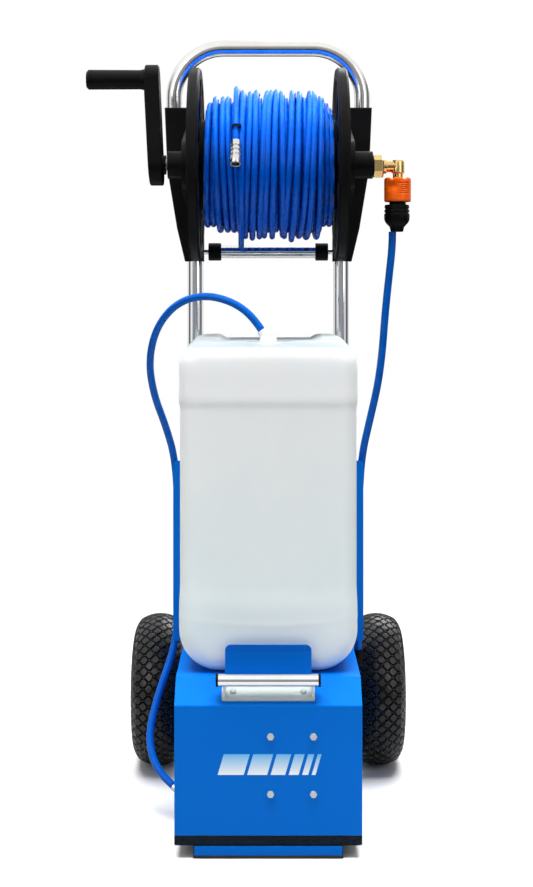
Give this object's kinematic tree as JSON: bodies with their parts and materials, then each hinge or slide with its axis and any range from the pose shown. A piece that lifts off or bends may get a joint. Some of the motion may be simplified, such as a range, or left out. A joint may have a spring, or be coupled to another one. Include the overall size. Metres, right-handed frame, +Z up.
{
  "type": "window cleaning water trolley with hose reel",
  "caption": "Two-wheeled window cleaning trolley: pump and battery box, water jerrycan, and a crank hose reel under a push handle.",
  "frame": {"origin": "on the floor, at the middle of the front foot's rubber pad", "axes": "+Z up along the uprights; +X to the right for someone who faces the front panel, towards the swivel; +Y from the front panel back to the wheels"},
  "size_m": [0.477, 0.5414, 1.126],
  "materials": {
    "blue_powder_coat": "satin powder coat",
    "board_black": "fine grained texture",
    "rubber_black": "matte",
    "chrome": "bright",
    "stainless": "brushed satin",
    "zinc": "bright zinc plate",
    "black_plastic": "moulded, slightly glossy",
    "can_plastic": "translucent natural polyethylene",
    "white_plastic": "smooth",
    "tyre": "diamond block tread",
    "rim_steel": "silver paint",
    "brass": "machined",
    "nickel": "nickel plate",
    "orange_plastic": "moulded",
    "blue_hose": "smooth extruded",
    "reel_hose": "smooth extruded, shiny",
    "battery_case": "moulded",
    "motor_enamel": "enamel",
    "display_plastic": "smooth",
    "red_plastic": "moulded"
  },
  "bodies": {
    "trolley": {"base_cover": "blue_powder_coat", "base_board": "board_black", "foot_channel": "blue_powder_coat", "foot_pad": "rubber_black", "back_frame": "blue_powder_coat", "retaining_tab": "blue_powder_coat", "lift_bracket": "zinc", "lift_bar": "chrome", "lift_bar_caps": "black_plastic", "lift_screws": "zinc", "pump_feet": "rubber_black", "pump_motor": "motor_enamel", "pump_head": "black_plastic", "pump_bolts": "zinc", "battery": "battery_case", "battery_clamp": "zinc", "rear_cover": "blue_powder_coat", "rear_screws": "zinc", "controller_box": "display_plastic", "switch_bezel": "black_plastic", "charge_socket": "black_plastic", "inlet_barb": "nickel", "outlet_elbow": "black_plastic", "left_upright": "chrome", "right_upright": "chrome", "cross_bar": "chrome", "cross_bar_collars": "black_plastic", "handle_tube": "stainless", "left_reel_bracket": "black_plastic", "right_reel_bracket": "black_plastic", "bracket_screws": "zinc", "axle_brackets": "blue_powder_coat", "wheel_axle": "zinc", "axle_collars": "zinc", "swivel_elbow": "brass", "connector_body": "black_plastic", "connector_nut": "black_plastic", "feed_hose": "blue_hose", "delivery_hose": "blue_hose"},
    "reel": {"reel_drum": "black_plastic", "left_flange": "black_plastic", "right_flange": "black_plastic", "reel_shaft": "zinc", "crank_arm": "black_plastic", "crank_pin": "zinc", "hose_coil": "reel_hose", "hose_nipple": "nickel", "hose_tie": "black_plastic"},
    "crank_grip": {"crank_grip": "black_plastic"},
    "left_wheel": {"left_tyre": "tyre", "left_rim": "rim_steel"},
    "right_wheel": {"right_tyre": "tyre", "right_rim": "rim_steel"},
    "jerrycan": {"jerrycan": "can_plastic", "can_cap": "white_plastic", "cap_elbow": "white_plastic"},
    "connector_collar": {"connector_collar": "orange_plastic"},
    "power_rocker": {"power_rocker": "red_plastic"},
    "speed_down_button": {"speed_down_button": "rubber_black"},
    "speed_up_button": {"speed_up_button": "rubber_black"}
  },
  "joints": [
    {"name": "reel_spin", "type": "hinge", "parent": "trolley", "child": "reel", "pos_m": [0, 0.19, 0.924], "axis": [1, 0, 0], "continuous": true},
    {"name": "crank_grip_spin", "type": "hinge", "parent": "reel", "child": "crank_grip", "pos_m": [-0.22, 0.19, 1.048], "axis": [1, 0, 0], "continuous": true},
    {"name": "left_wheel_spin", "type": "hinge", "parent": "trolley", "child": "left_wheel", "pos_m": [-0.171, 0.378, 0.116], "axis": [1, 0, 0], "continuous": true},
    {"name": "right_wheel_spin", "type": "hinge", "parent": "trolley", "child": "right_wheel", "pos_m": [0.171, 0.378, 0.116], "axis": [1, 0, 0], "continuous": true},
    {"name": "can_lift", "type": "slide", "parent": "trolley", "child": "jerrycan", "axis": [0, 0, 1], "range_m": [0, 0.05], "deforming": ["feed_hose"]},
    {"name": "collar_release", "type": "slide", "parent": "trolley", "child": "connector_collar", "axis": [0, 0, -1], "range_m": [0, 0.004], "stiffness_N_per_m": 600, "springref_m": -0.003},
    {"name": "power_switch", "type": "hinge", "parent": "trolley", "child": "power_rocker", "pos_m": [0.058, 0.3028, 0.184], "axis": [0, 0, -1], "range_deg": [0, 12]},
    {"name": "speed_down_press", "type": "slide", "parent": "trolley", "child": "speed_down_button", "axis": [0, -1, 0], "range_m": [0, 0.0015], "stiffness_N_per_m": 300, "springref_m": -0.002},
    {"name": "speed_up_press", "type": "slide", "parent": "trolley", "child": "speed_up_button", "axis": [0, -1, 0], "range_m": [0, 0.0015], "stiffness_N_per_m": 300, "springref_m": -0.002}
  ]
}
